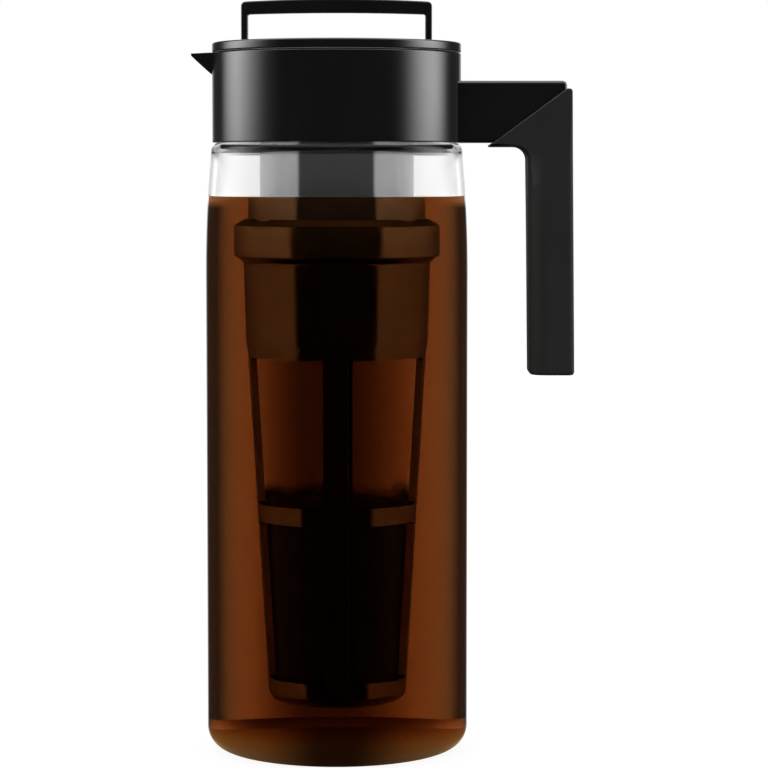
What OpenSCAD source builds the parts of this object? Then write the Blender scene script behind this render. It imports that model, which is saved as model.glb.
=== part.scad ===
// Cold brew coffee maker: a clear pitcher with a snapped-on collar, spout and
// side handle, a quarter-turn lid with a folding bail, and an infuser that
// hangs from the lid with a mesh filter basket on its lower end.
// Millimetres, +Z up, origin on the pitcher's axis at the table, spout at -X.

/* [Pitcher] */
// Largest outer radius of the pitcher
jug_r = 53.3; // [52:0.1:62]
// Height up to which the wall stays straight
straight_z = 195; // [120:1:225]
// Height where the wall turns in to the neck
shoulder_z = 244.5; // [228:0.1:300]
// Wall thickness of the pitcher
jug_wall = 2.6; // [1.8:0.1:3.4]
// Floor thickness of the pitcher
jug_floor = 4; // [2.5:0.1:6]
// Radius of the rounded foot
foot_round = 9.3; // [5:0.1:14]
// Radius of the shoulder's turn under the collar
shoulder_round = 3.4; // [2:0.1:5]
// Outer radius of the neck inside the collar
neck_r = 47.6; // [45:0.1:52]
// Wall thickness of the neck
neck_wall = 2.4; // [1.6:0.1:3]
// Height of the neck above the shoulder
neck_h = 24.1; // [20:0.1:30]
// Height of the snap bead round the neck
bead_h = 2; // [1:0.1:4]
// How far the snap bead stands out
bead_out = 0.7; // [0.3:0.1:1.2]

/* [Collar and spout] */
// Wall thickness of the collar's skirt over the neck
collar_wall = 2.85; // [2.4:0.05:5]
// How far the shoulder stands out past the collar
shoulder_step = 0.4; // [0:0.1:2]
// Height of the collar above its ledge
mouth_h = 10.8; // [10:0.1:20]
// Thickness of the seal ring under the ledge
neck_seal_t = 1.2; // [0.8:0.1:2.5]
// Reach of the spout's tip from the pitcher's axis
spout_reach = 59.1; // [56:0.1:75]
// Half width of the spout at its root
spout_half_w = 12; // [8:0.1:16]
// How far the spout's keel drops at its root
spout_drop = 10; // [6:0.1:10]
// Blunt half width of the spout's keel
spout_keel = 0.8; // [0.3:0.1:1.5]
// How far the pouring channel stops short of the tip
spout_lip = 2.6; // [1.6:0.1:4]

/* [Handle] */
// Height of the arm's front face
arm_h = 24.8; // [16:0.1:32]
// Width of the arm
arm_w = 26; // [18:0.1:30]
// How far the arm's underside lies below the collar's lower edge
arm_drop = 0.1; // [0:0.1:4]
// Distance of the arm's outer end from the pitcher's axis
arm_reach = 92.9; // [88:0.1:110]
// Radius of the arm's long edges
arm_round = 1.5; // [0.5:0.1:4]
// Thickness of the core that stands in the grip
core_t = 13.4; // [10:0.1:18]
// Width of the core
core_w = 22; // [14:0.1:25]
// Length of the grip below the arm
grip_len = 94; // [80:0.1:130]
// Thickness of the sleeve on the side of the pitcher
sleeve_in = 2.4; // [1:0.1:5]
// Thickness of the sleeve on the outer side
sleeve_out = 2.4; // [1:0.1:5]
// Thickness of the sleeve over the arm's sides
sleeve_side = 1.5; // [0.8:0.1:3]
// Thickness of the sleeve under the arm and the core
sleeve_under = 1.7; // [1:0.1:4]
// Radius of the grip's edges towards the pitcher
grip_inner_round = 8; // [3:0.1:11]
// Radius of the grip's outer edges
grip_outer_round = 3; // [1:0.1:8]
// Radius of the hollow between the grip's foot and its column
grip_fillet = 5; // [2:0.1:10]
// Length of the grip's foot under the arm
grip_foot = 16; // [11:0.1:20]
// Slope of the seam where the sleeve ends on the arm
seam_angle = 36.3; // [30:0.1:40]
// Outward lean of the grip towards its lower end
grip_lean = 0.6; // [0:0.1:3]

/* [Lid] */
// Gap between the lid's rim and the collar's top
lid_seam = 0.5; // [0.4:0.1:1.5]
// Height of the lid's rim
rim_h = 3.7; // [3:0.1:8]
// Radius of the rim's upper edge
rim_round = 0.8; // [0.3:0.1:1.4]
// Width of the rim at its top
rim_w = 3.2; // [2:0.1:5]
// Thickness of the flange over the collar
flange_t = 1.5; // [1.4:0.1:2.2]
// Depth of the dish floor below the flange's top
dish_depth = 2.9; // [2:0.1:6]
// Thickness of the dish floor
dish_t = 2; // [1.5:0.1:3]
// Depth of the plug below the dish floor
plug_h = 19.1; // [18:0.1:26]
// Thickness of the plug's skirt
skirt_wall = 2.9; // [2.4:0.1:3.6]
// Thickness of the plug's top plate
plate_t = 1.8; // [1.2:0.1:2.4]
// Half width of the pouring window in the plug's skirt
window_half_w = 9; // [5:0.1:14]
// Height of the pouring window
window_h = 9; // [5:0.1:10]
// Height of the plug's gasket
gasket_h = 3; // [2:0.1:4]
// Depth of the gasket's seat in the skirt
gasket_seat = 1.3; // [0.8:0.1:1.8]
// Height of the gasket's seat above the plug's lower edge
gasket_rise = 2.2; // [1.5:0.1:3]
// Width of the rim gasket
rim_gasket_w = 2.4; // [1.5:0.1:3]
// Thickness of the rim gasket
rim_gasket_t = 1; // [0.8:0.1:1.2]

/* [Bail] */
// Width of the bail over its posts
bail_w = 77.4; // [60:0.1:80]
// Height of the bail's top above its pivot
bail_h = 19.6; // [16:0.1:26]
// Thickness of the bail's posts
post_t = 2.8; // [2:0.1:4]
// Height of the bail's bar
bar_t = 5.6; // [3:0.1:7]
// Front-to-back depth of the bail
bail_d = 6; // [4:0.1:6.2]
// Rise of the bar's arch at its middle
arch_rise = 1.2; // [0.4:0.1:3]
// Radius of the bail's outer corners
bail_round = 1.9; // [0.5:0.1:2.5]
// Radius of the pivot pins
pivot_r = 1.6; // [1.2:0.1:2]
// Thickness of each pivot ear
ear_t = 3.7; // [3:0.1:5]
// Side gap between an ear and the bail's post
ear_gap = 0.4; // [0.3:0.1:1]
// Radius of the ears round the pivot
ear_r = 3.2; // [2.8:0.1:3.6]

/* [Infuser] */
// Outer radius of the infuser's neck tube
tube_r = 31.4; // [26:0.1:32]
// Wall thickness of the neck tube
tube_wall = 2; // [1.8:0.1:3]
// Length of the neck tube
tube_len = 73.3; // [60:0.1:90]
// Wall thickness of the lid's socket for the tube
socket_wall = 3.2; // [2.8:0.1:3.6]
// Depth of the lid's socket
socket_h = 15.3; // [14:0.1:17]
// Section height of the infuser's two seal rings
oring_h = 1.6; // [1.2:0.1:2]
// Depth of the seal rings' seats
oring_seat = 0.8; // [0.5:0.1:1]

/* [Basket] */
// Wall thickness of the coupling ring round the basket's lip
coupling_wall = 3.1; // [2.6:0.1:6]
// Height of the coupling ring's straight side
coupling_h = 12.7; // [11.5:0.1:18]
// Height of the cone on top of the coupling ring
coupling_cone = 2.6; // [1:0.1:5]
// How far the basket's lip stands up inside the coupling ring
lip_h = 3.5; // [2:0.1:4]
// How much narrower the basket is under its step than at its top
basket_draw = 1.44; // [1:0.02:6]
// Outer radius of the basket at its base
base_r = 24.2; // [18:0.1:28]
// Wall thickness of the basket
basket_wall = 2.3; // [1.4:0.1:3]
// Height of the solid upper wall, from the ring to the step
upper_wall_h = 37.7; // [20:0.1:60]
// Gap from the pitcher's floor to the basket
base_gap = 15.9; // [13:0.1:30]
// Height of the solid base below the lower windows
base_h = 10; // [8:0.1:20]
// Radius of the base's rounded edge
base_round = 5; // [2:0.1:7]
// Thickness of the basket's floor
base_t = 2.2; // [1.2:0.1:4]
// Height of the lower windows
low_window_h = 64.2; // [30:0.1:70]
// Height of the band between the windows
band_h = 7.2; // [3:0.1:12]
// Distance of the upper windows below the step
window_drop = 3; // [1:0.1:6]
// Width of each of the four ribs
rib_w = 9.6; // [5:0.1:14]
// Thickness of the filter mesh
mesh_t = 0.4; // [0.3:0.05:0.8]

/* [Locks and clearances] */
// Number of lugs in each quarter-turn lock
lug_count = 3; // [2:1:4]
// Half angle of each lug
lug_half_angle = 9; // [5:0.5:12]
// Height of the lugs
lug_h = 2.6; // [2:0.1:3]
// How far the lugs stand out
lug_out = 1.3; // [0.8:0.1:1.4]
// Clearance between parts that turn or slide past each other
run_gap = 0.4; // [0.2:0.05:0.5]
// Clearance of the seal rings in their seats
seal_gap = 0.15; // [0.1:0.05:0.2]
// Clearance between a seal ring and the wall it wipes
wipe_gap = 0.1; // [0.05:0.05:0.2]
// Clearance between fixed parts that fit over each other
fixed_gap = 0.1; // [0.05:0.05:0.2]
// Clearance all round a lug in its track
track_gap = 0.3; // [0.2:0.05:0.5]
// Clearance between the filter mesh and the basket's wall
mesh_gap = 0.25; // [0.15:0.05:0.5]
// Radial clearance of the pivot pins
pin_gap = 0.05; // [0.02:0.01:0.1]

/* [Hidden] */
$fn = 96;
cut = 1;

// Small steps and clearances inside the joints
mouth_step = 0.3;
plug_gap = 0.7;
lid_gap = 0.6;
dish_wall = 1.5;
bead_gap = 0.1;
lug_root = 0.5;
oring_margin = 0.8;
lug_margin = 1.2;
lip_step = 1.6;
collar_bite = 2;
arm_bite = 4;

// Heights of the neck, the collar and the lid, from the table up
pivot_rise = 0.3;
neck_z = shoulder_z + shoulder_round;
skirt_z = neck_z + fixed_gap;
neck_top = neck_z + neck_h;
ledge_z = neck_top + neck_seal_t;
collar_top = ledge_z + mouth_h;
bead_z = neck_z + neck_h / 3;
rim_z = collar_top + lid_seam;
rim_top = rim_z + rim_h;
flange_top = rim_z + flange_t;
dish_z = flange_top - dish_depth;
plug_top = dish_z - dish_t;
plug_z = plug_top - plug_h;
plate_z = plug_top - plate_t;
pivot_z = dish_z + bail_d / 2 + pivot_rise;

// Radii of the neck, the collar and the lid
neck_in_r = neck_r - neck_wall;
skirt_in_r = neck_r + fixed_gap;
collar_r = skirt_in_r + collar_wall;
shoulder_r = collar_r + shoulder_step;
mouth_r = neck_in_r + mouth_step;
plug_r = neck_in_r - plug_gap;
plug_in_r = plug_r - skirt_wall;
dish_wall_r = mouth_r - lid_gap;
dish_r = dish_wall_r - dish_wall;
chamfer = 0.5;

// Lid lock: lugs on the plug turn in a groove inside the collar
lid_lug_r = mouth_r + lug_out;
lid_lug_rise = 4.1;
lid_lug_z = ledge_z + lid_lug_rise;
rim_gasket_r = lid_lug_r + lug_root;
rim_gasket_seat = 0.8 * rim_gasket_t;
lug_start = 90;
slot_extra = 1.5;

// Infuser lock in the lid's socket, and the tube's seal above the lugs
tube_top = plate_z - run_gap;
tube_z = tube_top - tube_len;
tube_in_r = tube_r - tube_wall;
socket_r = tube_r + run_gap;
socket_out_r = socket_r + socket_wall;
socket_z = plate_z - socket_h;
tube_lug_r = tube_r + lug_out + run_gap;
top_oring_z = tube_top - oring_h - seal_gap - lug_margin;
top_lug_z = top_oring_z - seal_gap - lug_margin - lug_h;

// Basket lock inside the coupling ring, and the ring's own seal below the lugs
coupling_z = tube_z - run_gap - lip_h;
coupling_side_top = coupling_z + coupling_h;
coupling_top = coupling_side_top + coupling_cone;
low_oring_z = tube_z + oring_margin;
low_lug_z = low_oring_z + oring_h + lug_margin;
lip_r = socket_r + lip_step;
wall_top_r = lip_r - mouth_step;
coupling_r = lip_r + coupling_wall;
basket_r = wall_top_r - basket_draw;

// Heights of the basket, from the pitcher's floor up
base_z = jug_floor + base_gap;
low_window_z = base_z + base_h;
band_z = low_window_z + low_window_h;
up_window_z = band_z + band_h;
step_z = coupling_z - upper_wall_h;
step_h = 2.6;
up_window_top = step_z - window_drop;
mesh_lap = 0.25;

// Spout
spout_root = collar_r - collar_bite;
spout_len = spout_reach - spout_root;

// Handle
arm_z = skirt_z - arm_drop;
arm_top = arm_z + arm_h;
arm_end_round = 2.4;
core_step = 0.4;
core_out = arm_reach - core_step;
core_in = arm_reach - core_t;
grip_out = arm_reach + sleeve_out;
grip_in = core_in - sleeve_in;
grip_under = arm_z - sleeve_under;
grip_z = arm_z - grip_len;
grip_half_w = arm_w / 2 + sleeve_side;
seam_x = grip_in - grip_foot;
seam_top = grip_under + (arm_reach - seam_x) * tan(seam_angle);
face_trim = 0.08;

// Bail
bail_half_w = bail_w / 2;
bail_in = bail_half_w - post_t;
bail_top = pivot_z + bail_h;
ear_out = bail_in - ear_gap;
ear_in = ear_out - ear_t;

function arc(cx, cz, r, a0, a1, n = 6) =
    [for (i = [0:n]) let (a = a0 + (a1 - a0) * i / n) [cx + r * cos(a), cz + r * sin(a)]];

// Outer radius of the pitcher's upper wall, drawn in as a long arc
function taper_r(z) =
    jug_r - (jug_r - shoulder_r) * pow((z - straight_z) / (shoulder_z - straight_z), 2);

// Outer radius of the tapered basket below its step
function basket_at(z) = base_r + (basket_r - base_r) * (z - base_z) / (step_z - base_z);

// Plan outline of a bar with one pair of round edges inward, one outward
function bar_outline(x0, x1, half_w, round_in, round_out) = concat(
    arc(x1 - round_out, half_w - round_out, round_out, 0, 90),
    arc(x0 + round_in, half_w - round_in, round_in, 90, 180),
    arc(x0 + round_in, round_in - half_w, round_in, 180, 270),
    arc(x1 - round_out, round_out - half_w, round_out, 270, 360));

module ring(r0, r1, z0, z1) {
    translate([0, 0, z0])
        difference() {
            cylinder(r = r1, h = z1 - z0);
            translate([0, 0, -cut])
                cylinder(r = r0, h = z1 - z0 + 2 * cut);
        }
}

// Ring pieces spaced evenly, for lugs and for the slots that pass them
module ring_pieces(r0, r1, z0, z1, half_angle) {
    reach = 2 * r1;
    for (i = [0:lug_count - 1])
        rotate(lug_start + i * 360 / lug_count)
            intersection() {
                ring(r0, r1, z0, z1);
                translate([0, 0, z0 - cut])
                    linear_extrude(z1 - z0 + 2 * cut)
                        polygon([[0, 0],
                                 [reach * cos(half_angle), -reach * sin(half_angle)],
                                 [reach * cos(half_angle), reach * sin(half_angle)]]);
            }
}

module lugs(r, out_r, z) {
    ring_pieces(r - lug_root, out_r, z, z + lug_h, lug_half_angle);
}

// Groove that the lugs turn in, with slots that let them in or out
module lug_track(r, out_r, z, slot_z0, slot_z1) {
    ring(r - cut, out_r + track_gap, z - track_gap, z + lug_h + track_gap);
    ring_pieces(r - 2 * cut, out_r + 1.5 * track_gap, slot_z0, slot_z1, lug_half_angle + slot_extra);
}

module pitcher() {
    taper_n = 8;
    inner_foot = foot_round - jug_wall;
    inner_r = jug_r - jug_wall;
    taper = [for (i = [0:taper_n]) straight_z + (shoulder_z - straight_z) * i / taper_n];
    color("whitesmoke", 0.35)
        difference() {
            rotate_extrude()
                polygon(concat(
                    [[0, 0]],
                    arc(jug_r - foot_round, foot_round, foot_round, -90, 0),
                    [for (z = taper) [taper_r(z), z]],
                    arc(shoulder_r - shoulder_round, shoulder_z, shoulder_round, 0, 90),
                    [[neck_r, neck_z],
                     [neck_r, bead_z],
                     [neck_r + bead_out, bead_z + bead_h / 2],
                     [neck_r, bead_z + bead_h],
                     [neck_r, neck_top],
                     [0, neck_top]]));
            rotate_extrude()
                polygon(concat(
                    [[0, jug_floor]],
                    arc(inner_r - inner_foot, jug_floor + inner_foot, inner_foot, -90, 0),
                    [for (z = taper) [taper_r(z) - jug_wall, z]],
                    [[neck_in_r, neck_z],
                     [neck_in_r, neck_top + cut],
                     [0, neck_top + cut]]));
        }
}

module neck_seal() {
    color("dimgray") ring(neck_in_r, neck_r, neck_top, ledge_z);
}

// Spout body: two flanks that meet in a blunt keel, open or solid on top
module beak(tip_x, root_x, half_w, top_z, drop, keel) {
    polyhedron(
        points = [[-root_x, half_w, top_z], [-root_x, -half_w, top_z],
                  [-tip_x, keel / 2, top_z], [-tip_x, -keel / 2, top_z],
                  [-root_x, keel, top_z - drop], [-root_x, -keel, top_z - drop]],
        faces = [[0, 1, 3, 2], [0, 4, 5, 1], [0, 2, 4], [2, 3, 5, 4], [1, 5, 3]]);
}

module collar() {
    bead_room = bead_out + bead_gap;
    channel_root = mouth_r - collar_bite;
    channel_len = spout_reach - spout_lip - channel_root;
    channel_scale = channel_len / spout_len;
    color("#141414")
        difference() {
            union() {
                rotate_extrude()
                    polygon([[skirt_in_r, skirt_z],
                             [collar_r, skirt_z],
                             [collar_r, collar_top - chamfer],
                             [collar_r - chamfer, collar_top],
                             [mouth_r, collar_top],
                             [mouth_r, ledge_z],
                             [skirt_in_r, ledge_z],
                             [skirt_in_r, bead_z + bead_h + bead_gap],
                             [skirt_in_r + bead_room, bead_z + bead_h / 2],
                             [skirt_in_r, bead_z - bead_gap]]);
                beak(spout_reach, spout_root, spout_half_w, collar_top, spout_drop, spout_keel);
            }
            lug_track(mouth_r, lid_lug_r, lid_lug_z, lid_lug_z, collar_top + cut);
            beak(spout_reach - spout_lip, channel_root, spout_half_w * channel_scale,
                 collar_top + 0.01, spout_drop * channel_scale, spout_keel);
        }
}

// Arm, larger all round by the given amount where the grip takes it in
module arm_solid(extra) {
    root = collar_r - arm_bite;
    long_section = bar_outline(arm_z - extra, arm_top + extra, arm_w / 2 + extra, arm_round, arm_round);
    intersection() {
        rotate([90, 0, 0])
            linear_extrude(arm_w + 2 * extra, center = true)
                polygon(concat(
                    [[root, arm_z - extra], [arm_reach + extra, arm_z - extra]],
                    arc(arm_reach - arm_end_round, arm_top - arm_end_round, arm_end_round + extra, 0, 90),
                    [[root, arm_top + extra]]));
        translate([root, 0, 0])
            rotate([90, 0, 90])
                linear_extrude(arm_reach - root + 2 * extra)
                    polygon([for (p = long_section) [p[1], p[0]]]);
    }
}

// Where a face that leans outward towards its lower end stands at a height
function lean_x(x, z) = x + (grip_under - z) * tan(grip_lean);

// Upright bar that leans outward towards its lower end
module leaning_bar(z0, z1, outline) {
    translate([grip_in, 0, grip_under])
        rotate([0, -grip_lean, 0])
            translate([-grip_in, 0, z0 - grip_under])
                linear_extrude(z1 - z0)
                    polygon(outline);
}

module core_solid(extra) {
    core_round = 2;
    leaning_bar(grip_z + 2 * sleeve_under - extra, arm_top - arm_end_round - 1,
                bar_outline(core_in - extra, core_out + extra, core_w / 2 + extra, core_round, core_round));
}

module handle_arm() {
    color("#141414")
        difference() {
            union() {
                arm_solid(0);
                core_solid(0);
            }
            translate([0, 0, arm_z - cut])
                cylinder(r = collar_r, h = arm_h + 2 * cut);
        }
}

module grip() {
    bottom_in_round = 2.5;
    bottom_out_round = 1.5;
    top_round = 1.2;
    foot_half_w = grip_half_w - face_trim;
    foot_end = (grip_in + grip_inner_round + grip_out - grip_outer_round) / 2;
    front = concat(
        [[seam_x, grip_under]],
        arc(lean_x(grip_in, grip_under - grip_fillet) - grip_fillet, grip_under - grip_fillet,
            grip_fillet, 90, 0),
        arc(lean_x(grip_in, grip_z + bottom_in_round) + bottom_in_round, grip_z + bottom_in_round,
            bottom_in_round, 180, 270),
        arc(lean_x(grip_out, grip_z + bottom_out_round) - bottom_out_round, grip_z + bottom_out_round,
            bottom_out_round, 270, 360),
        arc(lean_x(grip_out, seam_top - top_round) - top_round, seam_top - top_round, top_round, 0, 90),
        [[arm_reach, seam_top]]);
    color("#262828")
        difference() {
            intersection() {
                rotate([90, 0, 0])
                    linear_extrude(2 * grip_half_w + 2 * cut, center = true)
                        polygon(front);
                union() {
                    leaning_bar(grip_z - cut, seam_top + cut,
                                bar_outline(grip_in - face_trim, grip_out + face_trim, grip_half_w,
                                            grip_inner_round, grip_outer_round));
                    translate([seam_x - cut, -foot_half_w, grip_under - grip_fillet - cut])
                        cube([foot_end - seam_x + cut, 2 * foot_half_w,
                              seam_top - grip_under + grip_fillet + 2 * cut]);
                }
            }
            arm_solid(fixed_gap);
            core_solid(fixed_gap);
        }
}

module lid_cap() {
    rim_in_r = collar_r - rim_w;
    color("#161616")
        difference() {
            union() {
                rotate_extrude()
                    polygon(concat(
                        [[0, plug_top],
                         [dish_wall_r, plug_top],
                         [dish_wall_r, rim_z],
                         [collar_r - chamfer, rim_z],
                         [collar_r, rim_z + chamfer]],
                        arc(collar_r - rim_round, rim_top - rim_round, rim_round, 0, 90),
                        [[rim_in_r, rim_top],
                         [rim_in_r, flange_top],
                         [dish_r, flange_top],
                         [dish_r, dish_z],
                         [0, dish_z]]));
                for (side = [-1, 1])
                    translate([side * (ear_in + ear_t / 2), 0, 0]) {
                        translate([0, 0, pivot_z])
                            rotate([0, 90, 0])
                                cylinder(r = ear_r, h = ear_t, center = true);
                        translate([-ear_t / 2, -ear_r, dish_z - dish_t / 2])
                            cube([ear_t, 2 * ear_r, pivot_z - dish_z + dish_t / 2]);
                    }
            }
            ring(rim_gasket_r, rim_gasket_r + rim_gasket_w, rim_z - cut, rim_z + rim_gasket_seat);
            translate([0, 0, pivot_z])
                rotate([0, 90, 0])
                    cylinder(r = pivot_r + pin_gap, h = bail_w, center = true);
        }
}

module rim_gasket() {
    gasket_top = rim_z + rim_gasket_seat;
    color("gray")
        ring(rim_gasket_r, rim_gasket_r + rim_gasket_w, gasket_top - rim_gasket_t, gasket_top);
}

module lid_plug() {
    seat_z = plug_z + gasket_rise - seal_gap;
    seat_top = seat_z + gasket_h + 2 * seal_gap;
    color("#1c1c1c")
        difference() {
            union() {
                rotate_extrude()
                    polygon([[0, plate_z],
                             [socket_r, plate_z],
                             [socket_r, socket_z],
                             [socket_out_r, socket_z],
                             [socket_out_r, plate_z],
                             [plug_in_r, plate_z],
                             [plug_in_r, plug_z],
                             [plug_r, plug_z],
                             [plug_r, seat_z],
                             [plug_r - gasket_seat, seat_z],
                             [plug_r - gasket_seat, seat_top],
                             [plug_r, seat_top],
                             [plug_r, plug_top],
                             [0, plug_top]]);
                lugs(plug_r, lid_lug_r, lid_lug_z);
            }
            lug_track(socket_r, tube_lug_r, top_lug_z, socket_z - cut, top_lug_z + lug_h);
            translate([-plug_r - cut, -window_half_w, plate_z - window_h])
                cube([skirt_wall + 2 * cut, 2 * window_half_w, window_h]);
        }
}

module lid_gasket() {
    color("gray")
        ring(plug_r - gasket_seat + seal_gap, neck_in_r - wipe_gap,
             plug_z + gasket_rise, plug_z + gasket_rise + gasket_h);
}

module bail() {
    arch_n = 12;
    arch_half = bail_half_w - bail_round;
    foot_z = pivot_z - bail_d;
    top_arch = [for (i = [0:arch_n])
        let (x = arch_half * (1 - 2 * i / arch_n))
        [x, bail_top - arch_rise * pow(x / bail_half_w, 2)]];
    under_arch = [for (i = [0:arch_n])
        let (x = bail_in * (2 * i / arch_n - 1))
        [x, bail_top - bar_t - arch_rise / 2 * pow(x / bail_in, 2)]];
    corner_z = top_arch[0][1] - bail_round;
    color("#161616")
        union() {
            intersection() {
                rotate([90, 0, 0])
                    linear_extrude(bail_d, center = true)
                        polygon(concat(
                            [[bail_half_w, foot_z]],
                            arc(arch_half, corner_z, bail_round, 0, 80),
                            top_arch,
                            arc(-arch_half, corner_z, bail_round, 100, 180),
                            [[-bail_half_w, foot_z], [-bail_in, foot_z]],
                            under_arch,
                            [[bail_in, foot_z]]));
                union() {
                    translate([-bail_w, -bail_d / 2, pivot_z])
                        cube([2 * bail_w, bail_d, bail_h + cut]);
                    translate([0, 0, pivot_z])
                        rotate([0, 90, 0])
                            cylinder(r = bail_d / 2, h = 2 * bail_w, center = true);
                }
            }
            for (side = [-1, 1])
                translate([side * (ear_in + bail_half_w - post_t / 2) / 2, 0, pivot_z])
                    rotate([0, 90, 0])
                        cylinder(r = pivot_r, h = bail_half_w - post_t / 2 - ear_in, center = true);
        }
}

module infuser_seal() {
    color("gray")
        ring(tube_r - oring_seat + seal_gap, socket_r - wipe_gap, top_oring_z, top_oring_z + oring_h);
}

module basket_seal() {
    color("gray")
        ring(tube_r + wipe_gap, socket_r + oring_seat - seal_gap, low_oring_z, low_oring_z + oring_h);
}

module infuser_neck() {
    color("#202020")
        difference() {
            union() {
                ring(tube_in_r, tube_r, tube_z, tube_top);
                lugs(tube_r, tube_lug_r, top_lug_z);
                lugs(tube_r, tube_lug_r, low_lug_z);
            }
            ring(tube_r - oring_seat, tube_r + cut, top_oring_z - seal_gap, top_oring_z + oring_h + seal_gap);
        }
}

module coupling_ring() {
    lip_top = coupling_z + lip_h;
    cone_edge = 0.6;
    color("#202020")
        difference() {
            rotate_extrude()
                polygon([[lip_r, coupling_z],
                         [coupling_r, coupling_z],
                         [coupling_r, coupling_side_top],
                         [socket_r + cone_edge, coupling_top],
                         [socket_r, coupling_top],
                         [socket_r, lip_top],
                         [lip_r, lip_top]]);
            lug_track(socket_r, tube_lug_r, low_lug_z, low_lug_z, coupling_top + cut);
            ring(socket_r - cut, socket_r + oring_seat, low_oring_z - seal_gap, low_oring_z + oring_h + seal_gap);
        }
}

// Four openings between the ribs, over the given height
module windows(z0, z1) {
    for (turn = [0:90:270])
        rotate(turn)
            translate([rib_w / 2, rib_w / 2, z0])
                cube([coupling_r, coupling_r, z1 - z0]);
}

module basket_frame() {
    step_out = 0.6;
    flare_h = 2.4;
    flare_step = 1;
    flare_r = coupling_r - flare_step;
    inner_base_r = basket_at(base_z + base_t) - basket_wall;
    color("#202020")
        difference() {
            rotate_extrude()
                polygon(concat(
                    [[0, base_z]],
                    arc(basket_at(base_z + base_round) - base_round, base_z + base_round, base_round, -90, 0),
                    [[basket_r, step_z],
                     [basket_r + step_out, step_z + step_h],
                     [wall_top_r, coupling_z - flare_h],
                     [flare_r, coupling_z],
                     [lip_r, coupling_z],
                     [lip_r, coupling_z + lip_h],
                     [lip_r - basket_wall, coupling_z + lip_h],
                     [wall_top_r - basket_wall, coupling_z - flare_h],
                     [basket_r + step_out - basket_wall, step_z + step_h],
                     [basket_r - basket_wall, step_z],
                     [inner_base_r, base_z + base_t],
                     [0, base_z + base_t]]));
            windows(low_window_z, band_z);
            windows(up_window_z, up_window_top);
        }
}

// Cone of filter mesh against the inside of the frame
module mesh_sleeve(z0, z1) {
    outer0 = basket_at(z0) - basket_wall - mesh_gap;
    outer1 = basket_at(z1) - basket_wall - mesh_gap;
    color("#503c28")
        rotate_extrude()
            polygon([[outer0, z0], [outer1, z1], [outer1 - mesh_t, z1], [outer0 - mesh_t, z0]]);
}

module upper_mesh() {
    mesh_sleeve(up_window_z - band_h * mesh_lap, step_z - mesh_gap);
}

module lower_mesh() {
    mesh_sleeve(low_window_z - base_h * mesh_lap, band_z + band_h * mesh_lap);
}

pitcher();
neck_seal();
collar();
handle_arm();
grip();
lid_cap();
lid_plug();
lid_gasket();
rim_gasket();
bail();
infuser_neck();
infuser_seal();
basket_seal();
coupling_ring();
basket_frame();
upper_mesh();
lower_mesh();
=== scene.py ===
import math

import bmesh
import bpy
from mathutils import Matrix, Vector, noise


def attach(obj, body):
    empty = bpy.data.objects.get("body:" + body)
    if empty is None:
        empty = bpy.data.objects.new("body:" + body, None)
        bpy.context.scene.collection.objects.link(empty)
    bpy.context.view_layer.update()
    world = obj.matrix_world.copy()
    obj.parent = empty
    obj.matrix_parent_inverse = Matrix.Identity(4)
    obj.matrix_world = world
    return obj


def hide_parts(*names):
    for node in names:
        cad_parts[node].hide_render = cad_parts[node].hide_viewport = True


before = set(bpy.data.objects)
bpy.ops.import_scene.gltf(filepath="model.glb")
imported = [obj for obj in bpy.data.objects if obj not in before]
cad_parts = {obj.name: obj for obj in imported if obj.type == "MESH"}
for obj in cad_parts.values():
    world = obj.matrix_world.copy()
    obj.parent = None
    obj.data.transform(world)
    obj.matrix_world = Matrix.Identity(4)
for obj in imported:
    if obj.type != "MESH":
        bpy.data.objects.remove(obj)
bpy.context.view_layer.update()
scene = bpy.context.scene
scene.view_settings.view_transform = "Standard"
mm = 0.001
print("frame loaded,", len(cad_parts), "nodes")

# The camera stands about level with the coffee's surface, a little to the right of the jug's axis, so it sees the
# collar and the lid from slightly below
cameraSetup = {"lens": 137.79, "sensor": 36, "distance": 1200, "height": 236, "side": 19.22, "tilt": 4.123,
               "clip": (0.05, 20)}
cameraData = bpy.data.cameras.new("photoCamera")
camera = bpy.data.objects.new("photoCamera", cameraData)
scene.collection.objects.link(camera)
cameraData.lens = cameraSetup["lens"]
cameraData.sensor_width = cameraSetup["sensor"]
cameraData.clip_start, cameraData.clip_end = cameraSetup["clip"]
camera.location = (cameraSetup["side"] * mm, -cameraSetup["distance"] * mm, cameraSetup["height"] * mm)
camera.rotation_euler = (math.radians(90 - cameraSetup["tilt"]), 0, 0)
scene.camera = camera


class Value:  # a socket that Python's operators work on
    def __init__(self, finish, socket):
        self.finish, self.socket = finish, socket

    def __add__(self, other):
        return self.finish.calc("ADD", self, other)

    def __sub__(self, other):
        return self.finish.calc("SUBTRACT", self, other)

    def __mul__(self, other):
        return self.finish.calc("MULTIPLY", self, other)

    def __radd__(self, other):
        return self.finish.calc("ADD", other, self)

    def __rsub__(self, other):
        return self.finish.calc("SUBTRACT", other, self)

    def step(self, low, high, lowValue=0.0, highValue=1.0):  # a soft step between two values
        return self.finish.add("ShaderNodeMapRange", {"interpolation_type": "SMOOTHSTEP"}, {
            "Value": self, "From Min": low, "From Max": high, "To Min": lowValue, "To Max": highValue})

    def part(self, name):  # another output of the same node
        return Value(self.finish, self.socket.node.outputs[name])


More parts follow.
